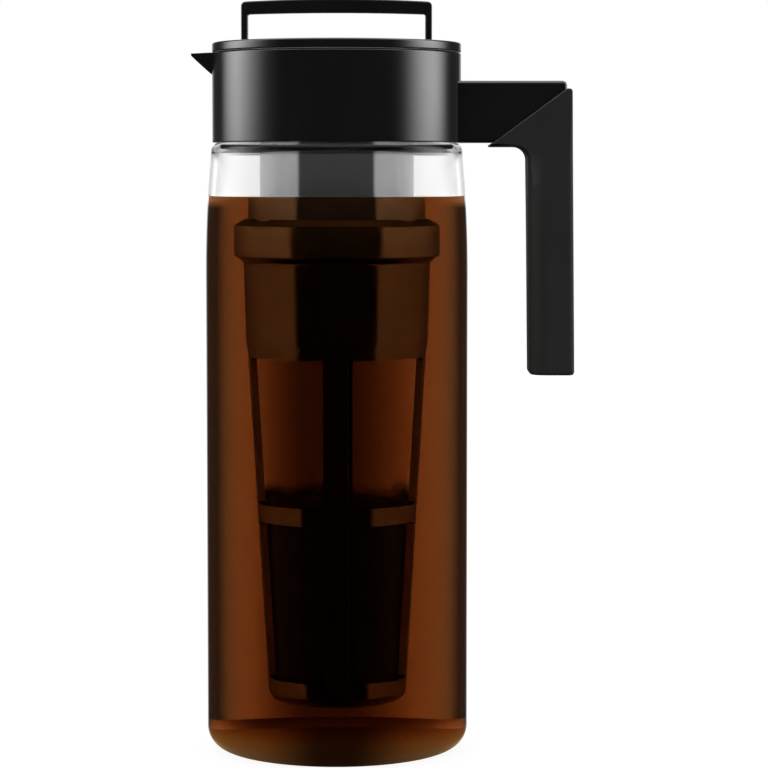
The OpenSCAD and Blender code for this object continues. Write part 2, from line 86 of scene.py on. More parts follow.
class Finish:  # a material or a world that is being put together
    def __init__(self, name, kind="materials"):
        self.data = getattr(bpy.data, kind).new(name)
        self.data.use_nodes = True
        self.tree = self.data.node_tree
        self.tree.nodes.clear()

    def add(self, kind, settings=None, inputs=None, output=0):
        node = self.tree.nodes.new(kind)
        for key, value in (settings or {}).items():
            setattr(node, key, value)
        for key, value in (inputs or {}).items():
            socket = node.inputs[key]
            if isinstance(value, Value):
                self.tree.links.new(value.socket, socket)
            elif socket.type == "RGBA":
                socket.default_value = (*value, 1)
            else:
                socket.default_value = value
        return Value(self, node.outputs[output]) if node.outputs else node

    def calc(self, operation, *values):
        return self.add("ShaderNodeMath", {"operation": operation}, dict(enumerate(values)))

    def place(self):
        return self.add("ShaderNodeTexCoord", output="Object")

    def split(self, vector):
        x = self.add("ShaderNodeSeparateXYZ", {}, {0: vector})
        return x, x.part("Y"), x.part("Z")

    def noise(self, scale, detail=3.0, stretch=None):
        where = self.place()
        if stretch:
            where = self.add("ShaderNodeMapping", {}, {"Vector": where, "Scale": stretch})
        return self.add("ShaderNodeTexNoise", {}, {"Vector": where, "Scale": scale, "Detail": detail})

    def cloud(self, scale, detail, low, high, stretch=None):  # a noise parted into soft patches
        return self.noise(scale, detail, stretch).step(low, high)

    def mix(self, factor, a, b):
        return self.add("ShaderNodeMix", {"data_type": "RGBA"}, {0: factor, 6: a, 7: b}, output=2)

    def choose(self, factor, a, b):
        return self.add("ShaderNodeMix", {"data_type": "FLOAT"}, {0: factor, 2: a, 3: b})

    def blend(self, factor, a, b):
        return self.add("ShaderNodeMixShader", {}, {0: factor, 1: a, 2: b})

    def bump(self, height, strength, distance):
        return self.add("ShaderNodeBump", {}, {"Height": height, "Strength": strength, "Distance": distance * mm})

    def surface(self, **inputs):
        return self.add("ShaderNodeBsdfPrincipled", {}, {name.replace("_", " "): v for name, v in inputs.items()})

    def done(self, shader, volume=None):
        kind = "ShaderNodeOutputWorld" if isinstance(self.data, bpy.types.World) else "ShaderNodeOutputMaterial"
        self.add(kind, {}, {"Surface": shader} if volume is None else {"Surface": shader, "Volume": volume})
        return self.data


# In the looks, a noise is (scale, detail, stretch), a cloud is (scale, detail, low, high, stretch), a bump is
# (strength, distance in mm) and a rough is (least, added by the clouds or the grain)

# Clear moulded plastic: smudges change the gloss a little, and the walls are slightly uneven
clearLook = {"tint": (0.975, 0.98, 0.975), "cloudy": (0.955, 0.96, 0.955), "ior": 1.22, "smudge": (38, 4, 0.35, 0.75),
             "smear": 0.03, "ripple": (60, 2, (1, 1, 0.3)), "bump": (0.06, 0.2)}


def clearPlastic():
    look = clearLook
    f = Finish("clearPlastic")
    smudge = f.cloud(*look["smudge"])
    return f.done(f.surface(Base_Color=f.mix(smudge, look["tint"], look["cloudy"]), Roughness=smudge * look["smear"],
                            IOR=look["ior"], Transmission_Weight=1.0,
                            Normal=f.bump(f.noise(*look["ripple"]), *look["bump"])))


# Where coffee wets the wall, the coffee's own surface bends the light and the wall hardly shows
wettedLook = {"tint": (0.995, 0.995, 0.995), "cloudy": (0.985, 0.985, 0.985), "smear": 0.02}


def wettedPlastic():
    look = wettedLook
    f = Finish("wettedPlastic")
    smudge = f.cloud(*clearLook["smudge"])
    return f.done(f.surface(Base_Color=f.mix(smudge, look["tint"], look["cloudy"]), Roughness=smudge * look["smear"],
                            IOR=1.0, Transmission_Weight=1.0))


# Glossy black moulded plastic of the collar, the lid, the bail and the arm
glossLook = {"dark": (0.005, 0.005, 0.005), "light": (0.0065, 0.0064, 0.0063), "cloud": (26, 5, 0.3, 0.7),
             "rough": (0.15, 0.04), "speck": (2600, 1, 0.66, 0.8), "speckRough": 0.08, "ior": 1.5, "grain": (900, 2),
             "bump": (0.05, 0.05)}
# Denser, more reflective plastic of the plug and the tube
innerLook = {"dark": (0.022, 0.022, 0.022), "light": (0.027, 0.0255, 0.025), "cloud": (45, 4, 0.3, 0.75),
             "rough": (0.05, 0.03), "ior": 2.45, "grain": (1500, 2), "bump": (0.05, 0.05)}
# The same plastic of the coupling ring and the basket, which stand in coffee: a copy with painted shade, darker, and
# a painted brown sheen
paintedShadeSheenLook = {**innerLook, "dark": (0.0015, 0.001, 0.0008), "light": (0.003, 0.0017, 0.001),
              "sheen": (1.0, 0.7, 0.42), "rough": (0.08, 0.07), "ior": 2.26}
# Cut edges and ledges of the parts in coffee: duller, and painted a lighter brown, a painted sheen in place of the
# reflections of rounded edges
paintedSheenEdgeLook = {"dark": (0.13, 0.085, 0.05), "light": (0.17, 0.115, 0.07), "cloud": (60, 4, 0.3, 0.75),
            "rough": (0.5, 0.2), "ior": 1.45, "grain": (1500, 2), "bump": (0.1, 0.08)}
# Silicone of the seals, dusty in places
siliconeLook = {"dark": (0.42, 0.42, 0.41), "light": (0.5, 0.49, 0.47), "cloud": (70, 4, 0.3, 0.75),
                "rough": (0.4, 0.15), "ior": 1.43, "grain": (600, 2, (1, 1, 3)), "bump": (0.1, 0.08)}


def moulded(name, look):  # clouds change the colour and the gloss a little, over a fine grain
    f = Finish(name)
    cloud = f.cloud(*look["cloud"])
    rough = look["rough"][0] + cloud * look["rough"][1]
    if "speck" in look:
        rough = rough + f.cloud(*look["speck"]) * look["speckRough"]
    return f.done(f.surface(Base_Color=f.mix(cloud, look["dark"], look["light"]), Roughness=rough, IOR=look["ior"],
                            Specular_Tint=look.get("sheen", (1, 1, 1)),
                            Normal=f.bump(f.noise(*look["grain"]), *look["bump"])))


# Soft-touch grip: fine moulded grain, dull, a little lighter in rubbed patches, and painted light on the lower part
# of the side towards the jug
gripLook = {"dark": (0.0145, 0.0158, 0.015), "rubbed": (0.019, 0.0205, 0.0195), "paintedLight": (0.04, 0.041, 0.038),
            "rub": (22, 4, 0.35, 0.8, (1, 1, 0.5)), "paintedLightAcross": (78, 84), "paintedLightUp": (232, 247),
            "rough": (0.5, 0.08), "pits": 1900, "pitDepth": 0.4, "grain": (1300, 3), "grainDepth": 0.6,
            "bump": (0.22, 0.12), "ior": 1.33}


def softGrip():
    look = gripLook
    f = Finish("softGrip")
    rub = f.cloud(*look["rub"])
    pits = f.add("ShaderNodeTexVoronoi", {}, {"Vector": f.place(), "Scale": look["pits"]})
    grain = f.noise(*look["grain"])
    x, y, z = f.split(f.place())
    across, up = ([w * mm for w in look[key]] for key in ("paintedLightAcross", "paintedLightUp"))
    # painted light: the side towards the jug is lighter below its top
    paintedLight = x.step(*across, 1.0, 0.0) * z.step(*up, 1.0, 0.0)
    colour = f.mix(paintedLight, f.mix(rub, look["dark"], look["rubbed"]), look["paintedLight"])
    least, added = look["rough"]
    return f.done(f.surface(Base_Color=colour, Roughness=least + rub * added + grain * added, IOR=look["ior"],
                            Normal=f.bump(grain * look["grainDepth"] + pits * look["pitDepth"], *look["bump"])))


# Fine woven filter: threads round and up the cone, more clogged where grounds have lain
meshLook = {"thread": (0.03, 0.017, 0.009), "stain": (0.004, 0.002, 0.001), "count": 230, "pitch": 0.78,
            "threadEdge": (0.75, 0.97), "woven": 0.7, "sunk": 0.08, "level": 98, "fade": 12, "ragged": (75, 4),
            "raggedHeight": 18, "rough": (0.3, 0.15), "stainRough": 0.2, "ior": 1.3, "bump": (0.25, 0.1)}


def filterMesh():
    look = meshLook
    f = Finish("filterMesh")
    x, y, z = f.split(f.place())
    acrossWeave = f.calc("SINE", f.calc("ARCTAN2", y, x) * look["count"])
    upWeave = f.calc("SINE", z * (2 * math.pi / (look["pitch"] * mm)))
    weave = f.calc("MAXIMUM", acrossWeave, upWeave)
    thread = weave.step(*look["threadEdge"])
    ragged = f.noise(*look["ragged"]) * (look["raggedHeight"] * mm) - look["raggedHeight"] / 2 * mm
    clogged = (z + ragged).step(look["level"] * mm, (look["level"] + look["fade"]) * mm, 1.0, 0.0)
    inJug = f.add("ShaderNodeLightPath", output="Is Transmission Ray")
    cover = f.calc("MAXIMUM", thread * f.choose(inJug, look["woven"], look["sunk"]), clogged)
    rough = look["rough"][0] + thread * look["rough"][1] + clogged * look["stainRough"]
    return f.done(f.surface(Base_Color=f.mix(clogged, look["thread"], look["stain"]), Roughness=rough,
                            IOR=look["ior"], Alpha=cover, Normal=f.bump(weave, *look["bump"])))


groundsLook = {"dark": (0.003, 0.0014, 0.0006), "light": (0.012, 0.0058, 0.0026), "fleck": (420, 5), "lump": (70, 3),
               "lit": (0.4, 0.75), "rough": (0.7, 0.25), "fleckDepth": 0.7, "lumpDepth": 0.3, "bump": (0.8, 0.8)}


def wetGrounds():
    look = groundsLook
    f = Finish("wetGrounds")
    fleck, lump = f.noise(*look["fleck"]), f.noise(*look["lump"])
    return f.done(f.surface(Base_Color=f.mix(fleck.step(*look["lit"]), look["dark"], look["light"]),
                            Roughness=look["rough"][0] + fleck * look["rough"][1],
                            Normal=f.bump(fleck * look["fleckDepth"] + lump * look["lumpDepth"], *look["bump"])))


# Coffee: absorbs green and blue more than red along the light's way through it
coffeeLook = {"ior": 1.15, "footIor": 1.0, "shine": 0.06, "footShine": 1.0, "colour": (0.66, 0.40, 0.12),
              "density": 66.0, "haze": (30, 3, 0.3, 0.8), "clear": (0.99, 0.985, 0.97), "hazy": (0.96, 0.95, 0.93),
              "hazeRough": 0.02, "surface": (0.035, 0.02, 0.009), "film": (90, 4, 0.35, 0.75),
              "filmRough": (0.01, 0.03), "lowTint": (1.0, 0.97, 0.88)}


def coldCoffee(name, ior, shine):
    look = coffeeLook
    f = Finish(name)
    haze = f.cloud(*look["haze"])
    tint, rough = f.mix(haze, look["clear"], look["hazy"]), haze * look["hazeRough"]
    shader = f.surface(Base_Color=tint, Roughness=rough, IOR=ior, Specular_Tint=(0, 0, 0), Transmission_Weight=1.0)
    if shine < 1:  # the rest only bends the light
        bent = f.add("ShaderNodeBsdfRefraction", {}, {"Color": tint, "Roughness": rough, "IOR": ior})
        shader = f.blend(shine, bent, shader)
    volume = f.add("ShaderNodeVolumeAbsorption", {}, {"Color": look["colour"], "Density": look["density"]})
    return f.done(shader, volume)


def coffeeSurface():  # a dark mirror that turns cream at a low angle
    look = coffeeLook
    f = Finish("coffeeSurface")
    film = f.cloud(*look["film"])
    filmed = tuple(2 * c for c in look["surface"])
    return f.done(f.surface(Base_Color=f.mix(film, look["surface"], filmed), Metallic=1.0,
                            Roughness=look["filmRough"][0] + film * look["filmRough"][1],
                            Specular_Tint=look["lowTint"]))


looks = {
    "clear": (clearPlastic(), "clear_plastic"),
    "gloss": (moulded("glossBlack", glossLook), "gloss_black"),
    "inner": (moulded("innerPlastic", innerLook), "black_plastic"),
    # painted shade and painted brown sheen of the parts that stand in coffee
    "paintedShadeSheen": (moulded("paintedShadeSheenPlastic", paintedShadeSheenLook), "black_plastic"),
    "edge": (moulded("paintedSheenEdge", paintedSheenEdgeLook), "black_plastic"),
    "grip": (softGrip(), "soft_grip"),
    "seal": (moulded("siliconeSeal", siliconeLook), "silicone"),
    "mesh": (filterMesh(), "filter_mesh"),
    "grounds": (wetGrounds(), "filter_mesh"),
    "coffee": (coldCoffee("coldCoffee", coffeeLook["ior"], coffeeLook["shine"]), "clear_plastic"),
    "coffeeFoot": (coldCoffee("coffeeFoot", coffeeLook["footIor"], coffeeLook["footShine"]), "clear_plastic"),
    "coffeeSurface": (coffeeSurface(), "clear_plastic"),
    "wetted": (wettedPlastic(), "clear_plastic"),
}
print("finishes made:", len(looks))


def looseObject(name, bm):
    mesh = bpy.data.meshes.new(name)
    bm.to_mesh(mesh)
    bm.free()
    piece = bpy.data.objects.new(name, mesh)
    scene.collection.objects.link(piece)
    return piece


def cleaned(bm):
    bmesh.ops.remove_doubles(bm, verts=bm.verts, dist=2e-6)
    bmesh.ops.recalc_face_normals(bm, faces=bm.faces)
    return bm


def applied(piece):  # the piece's modifiers become its mesh
    depsgraph = bpy.context.evaluated_depsgraph_get()
    mesh = bpy.data.meshes.new_from_object(piece.evaluated_get(depsgraph))
    piece.modifiers.clear()
    piece.data = mesh
    return piece


def carve(piece, tool, operation="DIFFERENCE"):
    cutting = piece.modifiers.new("carve", "BOOLEAN")
    cutting.object, cutting.operation, cutting.solver = tool, operation, "EXACT"
    applied(piece)
    bpy.data.objects.remove(tool)
    return piece


def dress(piece, look, body, stands=(), sharp=32, even=False):
    piece.data.materials.clear()
    piece.data.materials.append(looks[look][0])
    piece.data.shade_smooth()
    piece.data.set_sharp_from_angle(angle=math.radians(sharp))
    if even:  # flat faces stay flat beside their rounded edges
        evening = piece.modifiers.new("even", "WEIGHTED_NORMAL")
        evening.keep_sharp, evening.weight = True, 80
        applied(piece)
    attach(piece, body)
    if stands:
        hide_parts(*stands)
    return piece


def joined(bm, part):
    keep = bpy.data.meshes.new("part")
    part.to_mesh(keep)
    part.free()
    bm.from_mesh(keep)
    bpy.data.meshes.remove(keep)
    return bm


def bevelled(bm, edges, width, segments, clamp=True):
    bmesh.ops.bevel(bm, geom=edges, offset=width * mm, offset_type="OFFSET", affect="EDGES", segments=segments,
                    profile=0.5, material=-1, clamp_overlap=clamp)


def rims(bm, degrees):  # the edges between faces that meet at more than this angle
    return [e for e in bm.edges if len(e.link_faces) == 2 and e.calc_face_angle(0) > math.radians(degrees)]


def swivelled(bm, degrees, axis="Z", centre=(0, 0, 0)):
    bmesh.ops.rotate(bm, verts=bm.verts[:], cent=centre, matrix=Matrix.Rotation(math.radians(degrees), 3, axis))


def spun(bm, geom, degrees, steps, closed):  # round the jug's axis
    bmesh.ops.spin(bm, geom=geom, cent=(0, 0, 0), axis=(0, 0, 1), dvec=(0, 0, 0), angle=math.radians(degrees),
                   steps=steps, use_merge=closed, use_duplicate=False)


# A profile in the XZ plane: corners are (radius, height) in mm, with a rounding radius and its segments where they
# are rounded
def profile(bm, corners):
    points = [bm.verts.new((c[0] * mm, 0, c[1] * mm)) for c in corners]
    bm.faces.new(points)
    count = len(corners)
    for i, (point, corner) in enumerate(zip(points, corners)):
        if len(corner) < 3:
            continue
        before = Vector(corners[i - 1][:2]) - Vector(corner[:2])
        after = Vector(corners[(i + 1) % count][:2]) - Vector(corner[:2])
        reach = corner[2] / math.tan(before.angle(after) / 2)
        bmesh.ops.bevel(bm, geom=[point], offset=reach * mm, offset_type="ABSOLUTE", affect="VERTICES",
                        segments=corner[3], profile=0.5, material=-1, clamp_overlap=True)
    return bm


def turned(corners, steps):  # a profile spun round the jug's axis
    part = bmesh.new()
    profile(part, corners)
    bmesh.ops.delete(part, geom=part.faces[:], context="FACES_ONLY")
    onAxis = [e for e in part.edges if all(abs(v.co.x) < 1e-7 for v in e.verts)]
    bmesh.ops.delete(part, geom=onAxis, context="EDGES")
    spun(part, part.verts[:] + part.edges[:], 360, steps, True)
    return cleaned(joined(bmesh.new(), cleaned(part)))


# A block of the ring between two radii and heights, centred on an angle
def wedge(bm, r0, r1, z0, z1, centre, half):
    part = bmesh.new()
    profile(part, [(r0, z0), (r1, z0), (r1, z1), (r0, z1)])
    swivelled(part, centre - half)
    spun(part, part.verts[:] + part.edges[:] + part.faces[:], 2 * half, 8, False)
    return joined(bm, cleaned(part))


def lugs(bm, r0, r1, z0, height, half=9):
    for centre in (90, 210, 330):
        wedge(bm, r0, r1, z0, z0 + height, centre, half)
    return bm


# A box from corner to corner, with (test, width, segments) for the edges to round; a test is given an edge's middle
# and direction
def block(bm, low, high, bevels=()):
    part = bmesh.new()
    size, middle = Vector(high) - Vector(low), (Vector(low) + Vector(high)) / 2
    bmesh.ops.create_cube(part, size=1, matrix=Matrix.Translation(middle * mm) @ Matrix.Diagonal((*(size * mm), 1)))
    for test, width, segments in bevels:
        edges = []
        for e in part.edges:
            a, b = (v.co for v in e.verts)
            if test((a + b) / 2 / mm, (b - a).normalized()):
                edges.append(e)
        bevelled(part, edges, width, segments)
    return joined(bm, cleaned(part))


# Pitcher: a moulded jug with a long taper under the shoulder and a straight neck
pitcher = {"radius": 53.3, "straight": 195, "shoulder": 244.5, "drawIn": 2.35, "wall": 2.6, "floor": 4, "foot": 9.3,
           "neckRadius": 47.6, "neckWall": 2.4, "neckBase": 247.9, "neckTop": 272.0, "bead": 255.93, "beadOut": 0.7,
           "mouthRound": 0.7, "shoulderRound": 3.3, "innerRound": 4, "taperRows": 14}
coffee = {"level": 226.3, "skin": 0.35}


def wallRadius(z):
    share = max(0, (z - pitcher["straight"]) / (pitcher["shoulder"] - pitcher["straight"]))
    return pitcher["radius"] - pitcher["drawIn"] * share ** 2


def makePitcher():
    p = pitcher
    rise = [p["straight"] + (p["shoulder"] - p["straight"]) * i / p["taperRows"] for i in range(p["taperRows"])]
    taper = sorted([coffee["level"]] + rise)
    shoulderRadius, neckIn, neck = wallRadius(p["shoulder"]), p["neckRadius"] - p["neckWall"], p["neckRadius"]
    outer = [(0, 0), (p["radius"], 0, p["foot"], 16)] + [(wallRadius(z), z) for z in taper]
    outer += [(shoulderRadius, p["neckBase"], p["shoulderRound"], 8), (neck, p["neckBase"], 0.04, 1),
              (neck, p["bead"]), (neck + p["beadOut"], p["bead"] + 1, 0.4, 4), (neck, p["bead"] + 2),
              (neck, p["neckTop"], p["mouthRound"], 4)]
    inner = [(neckIn, p["neckTop"], p["mouthRound"], 4), (neckIn, p["neckBase"], p["innerRound"], 6),
             (shoulderRadius - p["wall"], p["shoulder"], p["innerRound"], 6)]
    inner += [(wallRadius(z) - p["wall"], z) for z in reversed(taper)]
    inner += [(p["radius"] - p["wall"], p["floor"], p["foot"] - p["wall"], 14), (0, p["floor"])]
    piece = looseObject("clearPitcher", turned(outer + inner, 256))
    dress(piece, "clear", "jug", ["pitcher"], even=True)
    piece.data.materials.append(looks["wetted"][0])
    for face in piece.data.polygons:
        face.material_index = 1 if face.center.z < coffee["level"] * mm else 0
    return piece


def makeCoffee():  # it reaches into the wall, since a full clear wall looks as dark as what it holds
    p, skin, level = pitcher, coffee["skin"], coffee["level"]
    rise = [p["straight"] + (level - p["straight"]) * i / 8 for i in range(9)]
    corners = [(0, skin), (p["radius"] - skin, skin, p["foot"] - skin, 12)]
    corners += [(wallRadius(z) - skin, z) for z in rise] + [(0, level)]
    piece = looseObject("coldBrew", turned(corners, 224))
    dress(piece, "coffee", "jug", sharp=50, even=True)
    piece.data.materials.append(looks["coffeeFoot"][0])
    piece.data.materials.append(looks["coffeeSurface"][0])
    normals = [Vector(n.vector) for n in piece.data.corner_normals]
    for face in piece.data.polygons:
        face.material_index = 2 if face.normal.z > 0.9 else 1 if face.normal.z < -0.5 else 0
        if face.material_index == 0:  # the side bends light sideways only, down to the foot
            for k in face.loop_indices:
                at = piece.data.vertices[piece.data.loops[k].vertex_index].co
                normals[k] = Vector((at.x, at.y, 0)).normalized()
    piece.data.normals_split_custom_set(normals)
    return piece


makePitcher()
makeCoffee()
print("pitcher and coffee made")

# Collar with its ledge, lid track and open spout
collar = {"radius": 50.55, "bottom": 248.0, "top": 284.0, "skirtIn": 47.7, "trackIn": 45.5, "ledge": 273.2,
          "groove": 47.15, "grooveLow": 277.0, "grooveHigh": 280.2, "beadIn": 0.8, "beadPlay": 0.1, "slotHalf": 10.5}
spout = {"reach": 59.1, "rootIn": 1.6, "channelIn": 1.5, "halfWidth": 12.0, "drop": 10.0, "keel": 0.8, "lip": 2.6,
         "bulge": 0.35, "innerBulge": 0.2, "tipTop": 0.9, "tipKeel": 0.55, "tipDrop": 0.9, "rows": 7}


def beak(reach, root, half, top, drop, keel, bulge):
    s = spout
    bm = bmesh.new()
    corners = ((half, top), (-half, top), (-keel, top - drop), (keel, top - drop))
    face = bm.faces.new([bm.verts.new((-root * mm, y * mm, z * mm)) for y, z in corners])
    grown = bmesh.ops.extrude_face_region(bm, geom=[face])["geom"]
    for v in [g for g in grown if isinstance(g, bmesh.types.BMVert)]:
        isTop = v.co.z > (top - 1) * mm
        width, height = (s["tipTop"], top) if isTop else (s["tipKeel"], top - s["tipDrop"])
        v.co = Vector((-reach * mm, math.copysign(width, v.co.y) * mm, height * mm))
    along = [e for e in bm.edges if abs(e.verts[0].co.x - e.verts[1].co.x) > 1 * mm]
    bmesh.ops.subdivide_edges(bm, edges=along, cuts=s["rows"], use_grid_fill=True)
    for v in bm.verts:  # the flanks and the keel swell a little between root and tip
        share = (-v.co.x / mm - root) / (reach - root)
        swell = bulge * math.sin(math.pi * min(max(share, 0), 1))
        v.co.y += math.copysign(swell, v.co.y) * mm * (1 if abs(v.co.y) > 0.1 * mm else 0)
        if v.co.z < (top - 0.5) * mm:
            v.co.z -= swell * 0.5 * mm
    return cleaned(bm)


def trackSlots(piece, ring):  # openings through which lugs enter the ring's groove from above
    slots = lugs(bmesh.new(), ring["trackIn"] - 2, ring["groove"] + 0.1, ring["grooveLow"] + 0.3,
                 ring["top"] - ring["grooveLow"] + 1, ring["slotHalf"])
    return carve(piece, looseObject("slots", slots))


def makeCollar():
    c, s, bead = collar, spout, pitcher["bead"]
    ring = [(c["skirtIn"], c["bottom"], 0.3, 3), (c["radius"], c["bottom"], 0.35, 3),
            (c["radius"], c["top"], 0.55, 4), (c["trackIn"], c["top"], 0.4, 3), (c["trackIn"], c["grooveHigh"]),
            (c["groove"], c["grooveHigh"]), (c["groove"], c["grooveLow"]), (c["trackIn"], c["grooveLow"]),
            (c["trackIn"], c["ledge"]), (c["skirtIn"], c["ledge"]), (c["skirtIn"], bead + 2 + c["beadPlay"]),
            (c["skirtIn"] + c["beadIn"], bead + 1), (c["skirtIn"], bead - c["beadPlay"])]
    piece = looseObject("pouringCollar", turned(ring, 240))
    root, channel, inner = c["radius"] - s["rootIn"], c["trackIn"] - s["channelIn"], s["reach"] - s["lip"]
    scale = (inner - channel) / (s["reach"] - c["radius"] + 2)
    shell = beak(s["reach"], root, s["halfWidth"], c["top"], s["drop"], s["keel"], s["bulge"])
    carve(piece, looseObject("beak", shell), "UNION")
    hollow = beak(inner, channel, s["halfWidth"] * scale, c["top"] + 1, s["drop"] * scale + 1, s["keel"],
                  s["innerBulge"])
    carve(piece, looseObject("channel", hollow))
    trackSlots(piece, c)
    return dress(piece, "gloss", "jug", ["collar"], sharp=28, even=True)


makeCollar()
print("collar made")

# Handle: a square arm, and a soft grip whose inner edges are rounder than its outer ones
arm = {"root": 46.6, "reach": 92.9, "halfWidth": 13.0, "bottom": 247.9, "top": 272.7, "round": 1.5, "endRound": 2.0,
       "endEdge": 0.6, "cutLow": 240, "cutHigh": 280, "coreIn": 79.5, "coreOut": 92.5, "coreHalf": 11.0,
       "coreBottom": 157.3, "coreRound": 2.0}
grip = {"inner": 77.1, "outer": 95.3, "halfWidth": 14.5, "under": 246.2, "bottom": 153.9, "seamX": 61.1,
        "seamTop": 269.56, "lean": 0.6, "fillet": 5.0, "innerRound": 8.0, "outerRound": 2.4, "rim": 1.6,
        "footRound": 1.0, "seamEdge": 0.5, "peak": 1.3, "spare": 10, "innerFrom": 214, "outerFrom": 236,
        "outerTo": 267, "innerRows": (233, 227, 221, 214, 200, 185),
        "outerRows": (236, 242, 247, 251, 254.5, 257.5, 260, 262.5, 264.5, 266.5)}


def pushed(corners, halfWidth):  # a profile given its width, to both sides of the middle plane
    bm = profile(bmesh.new(), corners)
    bmesh.ops.translate(bm, verts=bm.verts[:], vec=(0, -halfWidth * mm, 0))
    grown = bmesh.ops.extrude_face_region(bm, geom=bm.faces[:])["geom"]
    far = [g for g in grown if isinstance(g, bmesh.types.BMVert)]
    bmesh.ops.translate(bm, verts=far, vec=(0, 2 * halfWidth * mm, 0))
    return cleaned(bm)


def rounded(piece, width, segments):  # edges rounded by their weights
    rounding = piece.modifiers.new("rounding", "BEVEL")
    rounding.limit_method, rounding.offset_type, rounding.use_clamp_overlap = "WEIGHT", "OFFSET", False
    rounding.width, rounding.segments = width * mm, segments
    return applied(piece)


def weighted(bm, share):  # share gives an edge's weight from its middle in mm
    weight = bm.edges.layers.float.new("bevel_weight_edge")
    for e in bm.edges:
        e[weight] = share((e.verts[0].co + e.verts[1].co) / 2 / mm)


def graded(z, low, high, atLow, atHigh):  # a value that changes softly with height
    blend = min(max((z - low) / (high - low), 0), 1)
    return atLow + (atHigh - atLow) * (3 * blend ** 2 - 2 * blend ** 3)


def makeArm():
    a, cutRadius = arm, collar["radius"] - 0.02
    bm = pushed([(a["root"], a["bottom"]), (a["reach"], a["bottom"]), (a["reach"], a["top"], a["endRound"], 8),
                 (a["root"], a["top"])], a["halfWidth"])

    def share(middle):
        if abs(middle.y) < a["halfWidth"] - 0.1 or middle.x < a["root"] + 1:
            return 0
        isEnd = middle.x > a["reach"] - 0.1 and middle.z < a["top"] - a["endRound"] + 0.1
        return a["endEdge"] / a["round"] if isEnd else 1

    weighted(bm, share)
    piece = rounded(looseObject("handleArm", bm), a["round"], 6)
    tool = turned([(0, a["cutLow"]), (cutRadius, a["cutLow"]), (cutRadius, a["cutHigh"]), (0, a["cutHigh"])], 240)
    carve(piece, looseObject("neckCut", tool))
    core = block(bmesh.new(), (a["coreIn"], -a["coreHalf"], a["coreBottom"]),
                 (a["coreOut"], a["coreHalf"], a["bottom"] + 2), [(lambda m, d: abs(d.z) > 0.9, a["coreRound"], 3)])
    swivelled(core, -grip["lean"], "Y", (grip["inner"] * mm, 0, grip["under"] * mm))
    bm = bmesh.new()
    bm.from_mesh(piece.data)
    joined(bm, core)
    bm.to_mesh(piece.data)
    bm.free()
    return dress(piece, "gloss", "jug", ["handle_arm"], even=True)


def makeGrip():
    g = grip
    lean = math.tan(math.radians(g["lean"]))
    below = g["bottom"] - g["spare"]

    def leant(side, z):
        return g[side] + (g["under"] - z) * lean, z

    across, up = arm["reach"] - g["seamX"], g["seamTop"] - g["under"]
    corners = [(g["seamX"], g["under"], 0.5, 3), (*leant("inner", g["under"]), g["fillet"], 10)]
    corners += [leant("inner", z) for z in (*g["innerRows"], below)]
    corners += [leant("outer", z) for z in (below, *g["outerRows"])]
    corners += [(*leant("outer", g["seamTop"]), g["peak"], 5)]
    corners += [(g["seamX"] + across * t, g["under"] + up * t) for t in (1, 0.75, 0.5, 0.25)]
    bm = pushed(corners, g["halfWidth"])

    def share(middle):
        if abs(middle.y) < g["halfWidth"] - 0.1 or middle.z < below + 1:
            return 0
        if middle.x > g["outer"] - 3 and middle.z < g["outerTo"]:
            width = graded(middle.z, g["outerFrom"], g["outerTo"], g["outerRound"], g["seamEdge"])
        elif middle.z > g["under"] + 0.2:
            width = g["seamEdge"]
        elif middle.x < leant("inner", middle.z)[0] - g["fillet"] - 0.3:
            width = g["footRound"]
        else:
            width = graded(middle.z, g["innerFrom"], g["under"], g["innerRound"], g["footRound"])
        return width / g["innerRound"]

    weighted(bm, share)
    piece = rounded(looseObject("softGrip", bm), g["innerRound"], 7)
    bm = bmesh.new()
    bm.from_mesh(piece.data)
    foot = g["bottom"] * mm
    cut = bmesh.ops.bisect_plane(bm, geom=bm.verts[:] + bm.edges[:] + bm.faces[:], plane_co=(0, 0, foot),
                                 plane_no=(0, 0, -1), clear_outer=True)["geom_cut"]
    bmesh.ops.holes_fill(bm, edges=[e for e in cut if isinstance(e, bmesh.types.BMEdge)], sides=0)
    bevelled(bm, [e for e in bm.edges if all(abs(v.co.z - foot) < 1e-6 for v in e.verts)], g["rim"], 4)
    cleaned(bm)
    bm.to_mesh(piece.data)
    bm.free()
    return dress(piece, "grip", "jug", ["grip"], sharp=40, even=True)


for piece in (makeArm(), makeGrip()):  # no part mirrors it or shows it through the jug, as in the photo's light
    piece.visible_glossy = False
    piece.visible_transmission = False
print("handle made")

# Lid: a dished cap with two ears for the bail, and the bail on its pivot pins
lid = {"rim": 50.55, "seam": 284.5, "rimTop": 288.2, "rimIn": 47.35, "flange": 286.0, "dish": 43.4,
       "dishFloor": 283.1, "under": 281.1, "wall": 44.9, "seat": (47.3, 49.7), "seatTop": 285.3, "earOut": 35.5,
       "earIn": 31.8, "earRadius": 3.2, "earEdge": 0.3, "pivot": 286.4}
bail = {"half": 38.7, "post": 2.8, "top": 306.0, "bar": 5.6, "halfDepth": 3.0, "arch": 1.2, "corner": 1.9,
        "innerCorner": 0.7, "edge": 0.7, "pin": 1.6, "pinAt": 34.8, "pinLength": 6.0, "pinEdge": 0.3, "steps": 8}


